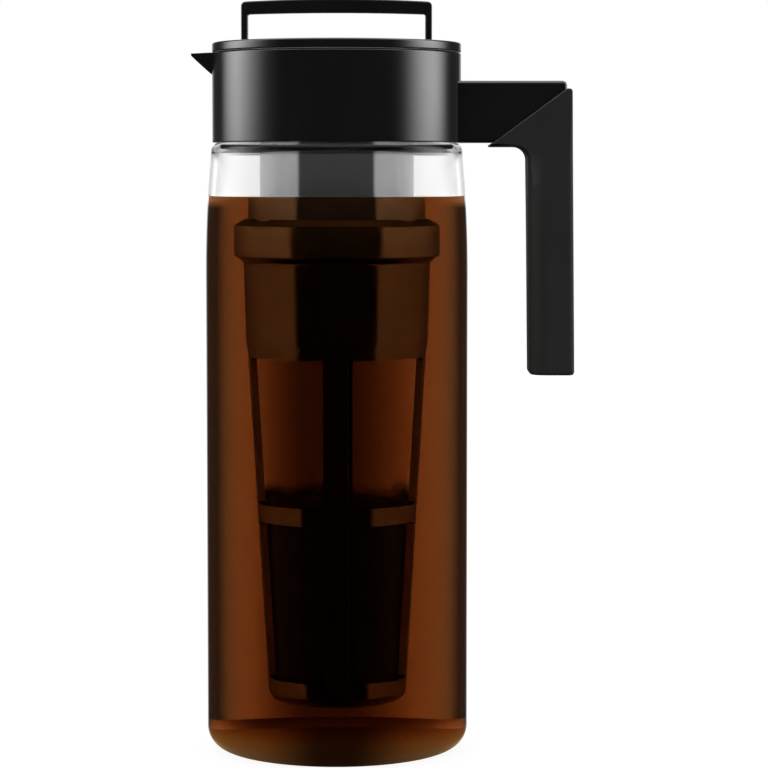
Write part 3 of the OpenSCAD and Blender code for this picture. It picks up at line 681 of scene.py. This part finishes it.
def makeLidCap():
    c, (seatIn, seatOut) = lid, lid["seat"]
    corners = [(0, c["under"]), (c["wall"], c["under"], 0.4, 3), (c["wall"], c["seam"]), (seatIn, c["seam"]),
               (seatIn, c["seatTop"]), (seatOut, c["seatTop"]), (seatOut, c["seam"]), (c["rim"], c["seam"], 0.45, 4),
               (c["rim"], c["rimTop"], 0.85, 7), (c["rimIn"], c["rimTop"], 0.6, 5), (c["rimIn"], c["flange"], 0.4, 3),
               (c["dish"], c["flange"], 0.5, 4), (c["dish"], c["dishFloor"], 0.8, 5), (0, c["dishFloor"])]
    bm = turned(corners, 240)
    for side in (-1, 1):
        low, high = sorted((side * c["earIn"], side * c["earOut"]))

        def onTop(m, d):
            return abs(d.x) > 0.9 and m.z > c["pivot"] + 3

        def onFace(m, d):
            return m.z > c["dishFloor"] and abs(d.x) < 0.1 and min(abs(m.x - low), abs(m.x - high)) < 0.05

        block(bm, (low, -c["earRadius"], c["dishFloor"] - 1), (high, c["earRadius"], c["pivot"] + c["earRadius"]),
              [(onTop, c["earRadius"] * 0.97, 9), (onFace, c["earEdge"], 2)])
    return dress(looseObject("lidCap", cleaned(bm)), "gloss", "lid", ["lid_cap"], even=True)


def makeBail():
    b, pivot, n = bail, lid["pivot"], bail["steps"]
    foot, inner = pivot - b["halfDepth"], b["half"] - b["post"]
    shoulder, under = b["top"] - b["arch"], b["top"] - b["bar"] - b["arch"] / 2
    corners = [(b["half"], foot), (b["half"], shoulder, b["corner"], 6)]
    corners += [(b["half"] * k / n, b["top"] - b["arch"] * (k / n) ** 2) for k in range(n - 1, -n, -1)]
    corners += [(-b["half"], shoulder, b["corner"], 6), (-b["half"], foot), (-inner, foot)]
    corners += [(-inner, under, b["innerCorner"], 3)]
    corners += [(inner * k / n, b["top"] - b["bar"] - b["arch"] / 2 * (k / n) ** 2) for k in range(1 - n, n)]
    corners += [(inner, under, b["innerCorner"], 3), (inner, foot)]
    bm = pushed(corners, b["halfDepth"])
    feet = [e for e in bm.edges if all(v.co.z < (foot + 0.1) * mm for v in e.verts)
            and abs((e.verts[0].co - e.verts[1].co).x) > 1 * mm]
    bevelled(bm, feet, b["halfDepth"] * 0.97, 8)
    bevelled(bm, rims(bm, 50), b["edge"], 4)
    for side in (-1, 1):
        pin = bmesh.new()
        place = Matrix.Translation((side * b["pinAt"] * mm, 0, pivot * mm)) @ Matrix.Rotation(math.pi / 2, 4, "Y")
        bmesh.ops.create_cone(pin, cap_ends=True, segments=40, radius1=b["pin"] * mm, radius2=b["pin"] * mm,
                              depth=b["pinLength"] * mm, matrix=place)
        bevelled(pin, [e for e in pin.edges if e.calc_face_angle(0) > 1], b["pinEdge"], 2, clamp=False)
        joined(bm, pin)
    return dress(looseObject("foldingBail", cleaned(bm)), "gloss", "bail", ["bail"], even=True)


makeLidCap()
makeBail()
print("lid cap and bail made")

# Infuser: the tube, the coupling ring, and the basket with its ribs, bands and filter mesh
tube = {"radius": 31.4, "inner": 29.4, "bottom": 205.6, "top": 278.9, "lugOut": 33.1, "topLug": 272.0,
        "lowLug": 209.2, "lugHeight": 2.6, "lugRoot": 0.5, "seat": 275.95, "seatHeight": 1.6, "seatDepth": 0.8,
        "seatPlay": 0.15}
coupling = {"radius": 36.5, "bottom": 201.7, "sideTop": 214.4, "top": 217.0, "trackIn": 31.8, "lip": 33.4,
            "lipTop": 205.2, "groove": 33.45, "grooveLow": 208.9, "grooveHigh": 212.1, "slotHalf": 10.5, "seat": 32.6,
            "seatLow": 206.25, "seatHigh": 208.15}
basket = {"base": 19.9, "baseRadius": 24.2, "topRadius": 31.66, "step": 164.0, "stepRise": 2.6, "stepOut": 0.6,
          "wallTop": 33.1, "flare": 35.5, "flareLow": 199.3, "wall": 2.3, "round": 5.0, "innerRound": 2.5,
          "floor": 2.2, "windows": ((29.9, 94.1), (101.3, 161.0)), "windowOut": 45, "ribHalf": 4.8, "corner": 1.1,
          "play": 0.02, "meshGap": 0.25, "mesh": 0.4, "upperMesh": (99.5, 163.75), "lowerMesh": (27.4, 95.9)}


def basketRadius(z):
    b = basket
    return b["baseRadius"] + (b["topRadius"] - b["baseRadius"]) * (z - b["base"]) / (b["step"] - b["base"])


def makeTube():
    t = tube
    seatIn, seatLow = t["radius"] - t["seatDepth"], t["seat"] - t["seatPlay"]
    seatHigh = t["seat"] + t["seatHeight"] + t["seatPlay"]
    corners = [(t["inner"], t["bottom"], 0.4, 3), (t["radius"], t["bottom"], 0.4, 3), (t["radius"], seatLow),
               (seatIn, seatLow), (seatIn, seatHigh), (t["radius"], seatHigh), (t["radius"], t["top"], 0.5, 3),
               (t["inner"], t["top"], 0.5, 3)]
    bm = turned(corners, 200)
    for height in (t["topLug"], t["lowLug"]):
        lugs(bm, t["radius"] - t["lugRoot"], t["lugOut"], height, t["lugHeight"])
    return dress(looseObject("infuserTube", cleaned(bm)), "inner", "infuser", ["infuser_neck"], even=True)


# the edges' finish: duller, with a painted sheen of lighter brown
def dulledWithPaintedSheen(piece, test):  # faces that take the edges' finish
    piece.data.materials.append(looks["edge"][0])
    for face in piece.data.polygons:
        if test(face.center / mm, face.normal):
            face.material_index = 1
    return piece


def makeCoupling():
    c = coupling
    bore = c["trackIn"]
    corners = [(c["lip"], c["bottom"], 0.3, 2), (c["radius"], c["bottom"], 0.6, 4),
               (c["radius"], c["sideTop"], 0.9, 6), (bore + 0.6, c["top"], 0.3, 3), (bore, c["top"], 0.2, 2),
               (bore, c["grooveHigh"]), (c["groove"], c["grooveHigh"]), (c["groove"], c["grooveLow"]),
               (bore, c["grooveLow"]), (bore, c["seatHigh"]), (c["seat"], c["seatHigh"]), (c["seat"], c["seatLow"]),
               (bore, c["seatLow"]), (bore, c["lipTop"]), (c["lip"], c["lipTop"])]
    piece = trackSlots(looseObject("couplingRing", turned(corners, 200)), c)
    dress(piece, "paintedShadeSheen", "basket", ["coupling_ring"], even=True)
    # the top of the cone takes the painted sheen
    return dulledWithPaintedSheen(piece, lambda centre, normal: centre.z > c["sideTop"] and normal.z > 0.3)


def makeBasket():
    b, c = basket, coupling
    stepTop, stepRadius = b["step"] + b["stepRise"], b["topRadius"] + b["stepOut"]
    lip, lipLow, lipHigh = c["lip"] - 0.05, c["bottom"] - b["play"], c["lipTop"] - b["play"]
    floor = b["base"] + b["floor"]
    corners = [(0, b["base"]), (basketRadius(b["base"]), b["base"], b["round"], 10),
               (b["topRadius"], b["step"], 0.8, 4), (stepRadius, stepTop, 0.8, 4),
               (b["wallTop"], b["flareLow"], 1.0, 3), (b["flare"], lipLow, 0.3, 3),
               (lip, lipLow), (lip, lipHigh, 0.3, 2), (c["lip"] - b["wall"], lipHigh, 0.3, 2),
               (b["wallTop"] - b["wall"], b["flareLow"]), (stepRadius - b["wall"], stepTop),
               (b["topRadius"] - b["wall"], b["step"]),
               (basketRadius(floor) - b["wall"], floor, b["innerRound"], 5), (0, floor)]
    piece = looseObject("basketFrame", turned(corners, 192))

    def atRib(m, d):
        return abs(d.z) < 0.1 and min(abs(m.x - b["ribHalf"]), abs(m.y - b["ribHalf"])) < 0.1

    openings = bmesh.new()
    for low, high in b["windows"]:
        for quarter in range(4):
            part = block(bmesh.new(), (b["ribHalf"], b["ribHalf"], low), (b["windowOut"], b["windowOut"], high),
                         [(atRib, b["corner"], 4)])
            swivelled(part, quarter * 90)
            joined(openings, part)
    carve(piece, looseObject("openings", openings))
    dress(piece, "paintedShadeSheen", "basket", ["basket_frame"], even=True)

    # the flat sides of the windows take the painted sheen
    def isCut(centre, normal):  # the flat sides of the windows
        return max(abs(normal.x), abs(normal.y)) > 0.9999 and b["base"] + 8 < centre.z < b["step"] - 2

    return dulledWithPaintedSheen(piece, isCut)


def makeMesh(name, node, low, high, rows=6):
    b = basket
    out0, out1 = (basketRadius(z) - b["wall"] - b["meshGap"] for z in (low, high))
    outer = [(out0 + (out1 - out0) * i / rows, low + (high - low) * i / rows) for i in range(rows + 1)]
    corners = outer + [(r - b["mesh"], z) for r, z in reversed(outer)]
    return dress(looseObject(name, turned(corners, 160)), "mesh", "basket", [node])


grounds = {"bottom": 22.15, "top": 98.0, "mound": 6.0, "footIn": 1.5, "play": 0.15, "lumps": 1.6,
           "grain": ((130, 1.0), (420, 0.6), (900, 0.4)), "wallRows": 10, "moundRows": 14}


def makeGrounds():
    g, b = grounds, basket
    inset, n, rows = b["wall"] + b["meshGap"] + b["mesh"] + g["play"], g["moundRows"], g["wallRows"]
    heights = [g["bottom"] + (g["top"] - g["bottom"]) * i / rows for i in range(rows + 1)]
    wall = [(basketRadius(z) - inset, z) for z in heights]
    wall[0] = (basketRadius(g["bottom"]) - inset - g["footIn"], g["bottom"])
    edge = basketRadius(g["top"]) - inset
    mound = [(edge * (1 - k / n), g["top"] + g["mound"] * (1 - (1 - k / n) ** 2)) for k in range(1, n + 1)]
    bm = turned([(0, g["bottom"]), *wall, *mound], 96)
    for v in bm.verts:
        if v.co.z > (g["top"] + 0.2) * mm:
            v.co.z += g["lumps"] * mm * sum(share * noise.noise(v.co * scale) for scale, share in g["grain"])
    return dress(looseObject("coffeeGrounds", bm), "grounds", "basket", sharp=80)


makeTube()
makeCoupling()
makeBasket()
makeMesh("upperMesh", "upper_mesh", *basket["upperMesh"])
makeMesh("lowerMesh", "lower_mesh", *basket["lowerMesh"])
makeGrounds()
print("infuser made")


# The remaining nodes: a merged copy of each, with its sharp edges eased where a width is given
def eased(name, node, look, body, width):
    bm = bmesh.new()
    bm.from_mesh(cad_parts[node].data)
    bmesh.ops.remove_doubles(bm, verts=bm.verts, dist=1e-6)
    bmesh.ops.dissolve_limit(bm, angle_limit=math.radians(0.6), verts=bm.verts[:], edges=bm.edges[:],
                             use_dissolve_boundaries=False)
    bmesh.ops.recalc_face_normals(bm, faces=bm.faces)
    if width:
        bevelled(bm, rims(bm, 40), width, 2)
    return dress(looseObject(name, bm), look, body, [node])


eased("lidPlug", "lid_plug", "inner", "lid", 0)
eased("neckSeal", "neck_seal", "seal", "jug", 0.15)
eased("lidGasket", "lid_gasket", "seal", "lid_seat", 0.2)
eased("rimGasket", "rim_gasket", "seal", "lid", 0.1)
eased("infuserSeal", "infuser_seal", "seal", "infuser_seat", 0.2)
eased("basketSeal", "basket_seal", "seal", "basket_seat", 0.2)
print("seals and plug made")


# Studio: white all round. What shows through a clear part stands behind it: a white pool with a dark middle and
# flags beside it, and open white over the flags. What a dark part mirrors through a clear one is a card in front and
# white at the sides. Shiny parts in the open look at two wide soft boxes and an overhead one. Angles are in degrees
studio = {"card": 0.03, "cardEdge": (54, 62), "middle": (1.8, 11.0), "middleTone": 0.2, "poolRight": (8.3, 27),
          "poolLeft": (10, 32), "flag": 0.08, "flagEnd": (62, 74), "open": 0.88, "flagTop": (-0.72, -0.5),
          "overOpen": (3.0, 5.0), "nadir": (-50, -30), "mirrorCard": 0.02, "mirrorSide": 0.8, "mirrorEdge": 0.3,
          "mirrorReach": (5, 62), "openCard": 0.1, "openSide": 1.85, "openEdge": 0.95, "cream": (0.93, 0.84, 0.66),
          "creamAcross": (3, 6), "creamUp": (0, 0.3), "left": (62, 104, 100, 133, 6.5),
          "right": (60, 92, 96, 126, 7.0), "boxFoot": (-0.5, 0.3), "boxTop": (20, 45), "boxAbove": 0.1, "side": 0.25,
          "sideFrom": (52, 64), "sideTo": (120, 134), "sideBack": 0.12, "back": 0.8, "backReach": (12, 24),
          "ground": (-2.0, 0.0), "groundTone": 0.1, "overhead": 2.6, "overheadFrom": (30, 62), "plain": 0.8,
          "plainTop": 1.2, "plainRise": (-20, 60)}
floorLook = {"table": 0.02, "paper": 0.5, "glow": 1.06, "rough": 0.9, "lit": 0.14, "grain": (14, 4),
             "white": (0.8, 0.8, 0.79), "pale": (0.83, 0.83, 0.82), "shade": (0.085, 0.04, 0.015),
             "shadeBack": (0.5, 0.38, 0.2), "shadeDepth": (-40, 45), "shadeMiddle": 0.15, "shadeAcross": (5, 32),
             "shadeRadius": 54, "radius": 3.0}


def towards(f, x, y):  # the angle from the studio's front, 0 to 180, and 1 on the left side
    angle = f.calc("ARCTAN2", f.calc("ABSOLUTE", x), y * -1.0)
    return angle * (180 / math.pi), f.calc("LESS_THAN", x, 0.0)


def seenThrough(f, angle, left, low):  # what a ray meets that comes straight through a clear part
    s = studio
    behind = 180.0 - angle
    pool = f.choose(left, behind.step(*s["poolRight"], 1.0, s["flag"]), behind.step(*s["poolLeft"], 1.0, s["flag"]))
    flagged = behind.step(*s["middle"], s["middleTone"], 1.0) * pool + behind.step(*s["flagEnd"], 0.0, 1.0)
    return f.choose(low, s["open"], flagged)


def seenMirrored(f, angle, low):  # what a ray meets that a part inside has mirrored
    s = studio
    behind = 180.0 - angle
    card, reach = s["cardEdge"], s["mirrorReach"]
    under = angle.step(*card, s["mirrorCard"], 1.0) * behind.step(*reach, s["mirrorEdge"], s["mirrorSide"])
    over = angle.step(*card, s["openCard"], 1.0) * behind.step(*reach, s["openEdge"], s["openSide"])
    return f.choose(low, over, under)


def softBox(angle, rise0, rise1, fall0, fall1, strength):
    return angle.step(rise0, rise1) * angle.step(fall0, fall1, 1.0, 0.0) * strength


def seenReflected(f, angle, left, rise):  # what a shiny part in the open mirrors
    s = studio
    boxes = f.choose(left, softBox(angle, *s["right"]), softBox(angle, *s["left"])) * rise.step(*s["boxFoot"])
    around = s["card"] + angle.step(*s["sideFrom"]) * s["side"] * angle.step(*s["sideTo"], 1.0, s["sideBack"])
    around = around + (180.0 - angle).step(*s["backReach"], s["back"], 0.0)
    lit = around * rise.step(*s["ground"], s["groundTone"], 1.0) + boxes * rise.step(*s["boxTop"], 1.0, s["boxAbove"])
    return lit + rise.step(*s["overheadFrom"]) * s["overhead"]


def studioWorld():
    s = studio
    f = Finish("studioWorld", "worlds")
    scene.world = f.data
    x, y, z = f.split(f.add("ShaderNodeTexCoord", output="Generated"))
    angle, left = towards(f, x, y)
    rise = f.calc("ARCSINE", z) * (180 / math.pi)
    low = rise.step(*s["flagTop"], 1.0, 0.0) + rise.step(*s["overOpen"])
    path = f.add("ShaderNodeLightPath", output="Is Camera Ray")
    mirrored = f.calc("GREATER_THAN", path.part("Glossy Depth"), 0.5)
    through = f.choose(rise.step(*s["nadir"]), 1.0, seenThrough(f, angle, left, low))
    through = f.choose(mirrored, through, seenMirrored(f, angle, low))
    plain = rise.step(*s["plainRise"], s["plain"], s["plainTop"])
    strength = f.choose(path.part("Is Glossy Ray"), plain, seenReflected(f, angle, left, rise))
    strength = f.choose(path.part("Is Transmission Ray"), strength, through)
    strength = f.choose(path, strength, 1.0)
    overCoffee = mirrored * (180.0 - angle).step(*s["creamAcross"], 1.0, 0.0) * rise.step(*s["creamUp"])
    colour = f.mix(overCoffee, (1, 1, 1), s["cream"])
    f.done(f.add("ShaderNodeBackground", {}, {"Color": colour, "Strength": strength}))


def whiteFloor():  # clear parts show the world's tones behind it, and the jug's own brown shade under the jug
    s = floorLook
    f = Finish("whiteFloor")
    x, y, z = f.split(f.place())
    path = f.add("ShaderNodeLightPath", output="Is Camera Ray")
    glow = f.choose(path, f.choose(path.part("Is Glossy Ray"), s["paper"], s["table"]), s["glow"])
    paper = f.surface(Base_Color=f.mix(f.noise(*s["grain"]), s["white"], s["pale"]), Roughness=s["rough"])
    light = f.add("ShaderNodeEmission", {}, {"Color": (1, 1, 1), "Strength": glow})
    shown = f.blend(1.0 - path * s["lit"], paper, light)
    across = f.calc("ABSOLUTE", x).step(*(w * mm for w in s["shadeAcross"]), s["shadeMiddle"], 1.0)
    tone = f.mix(y.step(*(w * mm for w in s["shadeDepth"])), s["shade"], s["shadeBack"])
    shade = f.add("ShaderNodeEmission", {}, {"Color": tone, "Strength": across})
    away = (x * x + y * y).step((s["shadeRadius"] * mm) ** 2, ((s["shadeRadius"] + 1) * mm) ** 2)
    under = f.blend(away, shade, f.add("ShaderNodeBsdfTransparent"))
    return f.done(f.blend(path.part("Is Transmission Ray"), shown, under))


studioWorld()
floorMesh = bmesh.new()
bmesh.ops.create_circle(floorMesh, cap_ends=True, segments=96, radius=floorLook["radius"])
floor = looseObject("paperFloor", floorMesh)
floor.data.materials.append(whiteFloor())
print("studio made")
